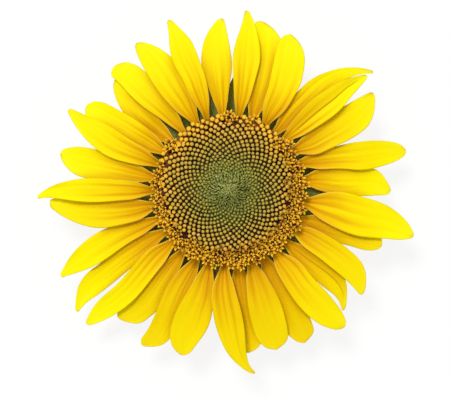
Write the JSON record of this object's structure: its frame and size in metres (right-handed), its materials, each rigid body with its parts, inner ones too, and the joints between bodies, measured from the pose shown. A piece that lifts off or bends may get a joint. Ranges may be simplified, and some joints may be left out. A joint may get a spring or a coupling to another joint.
{
  "type": "cut sunflower",
  "caption": "Cut sunflower head lying face up on a short stem stub, with yellow ray petals round a green and golden disc.",
  "frame": {"origin": "middle of the bounding box in plan, on the plane of the stem's cut face, which is what the flower rests on", "axes": "+Z out of the flower's face along its own axis, +X and +Y across the face, +Y towards the top of the flower as it is usually seen"},
  "size_m": [0.1651, 0.1592, 0.0371],
  "materials": {
    "petal": "satin",
    "floret_open": "matte",
    "floret_bud": "matte",
    "floret_centre": "matte",
    "bract": "matte",
    "receptacle": "matte",
    "stem": "matte"
  },
  "bodies": {
    "root": {"stem": "stem", "receptacle": "receptacle", "disc_florets_centre": "floret_centre", "disc_florets_buds": "floret_bud", "disc_florets_open": "floret_open", "petal_01": "petal", "petal_02": "petal", "petal_03": "petal", "petal_04": "petal", "petal_05": "petal", "petal_06": "petal", "petal_07": "petal", "petal_08": "petal", "petal_09": "petal", "petal_10": "petal", "petal_11": "petal", "petal_12": "petal", "petal_13": "petal", "petal_14": "petal", "petal_15": "petal", "petal_16": "petal", "petal_17": "petal", "petal_18": "petal", "petal_19": "petal", "petal_20": "petal", "petal_21": "petal", "petal_22": "petal", "petal_23": "petal", "petal_24": "petal", "petal_25": "petal", "petal_26": "petal", "petal_27": "petal", "petal_28": "petal", "petal_29": "petal", "petal_30": "petal", "petal_31": "petal", "petal_32": "petal", "petal_33": "petal", "bract_01": "bract", "bract_02": "bract", "bract_03": "bract", "bract_04": "bract", "bract_05": "bract", "bract_06": "bract", "bract_07": "bract", "bract_08": "bract", "bract_09": "bract", "bract_10": "bract", "bract_11": "bract", "bract_12": "bract", "bract_13": "bract", "bract_14": "bract", "bract_15": "bract", "bract_16": "bract", "bract_17": "bract", "bract_18": "bract", "bract_19": "bract", "bract_20": "bract", "bract_21": "bract", "bract_22": "bract"}
  },
  "joints": []
}
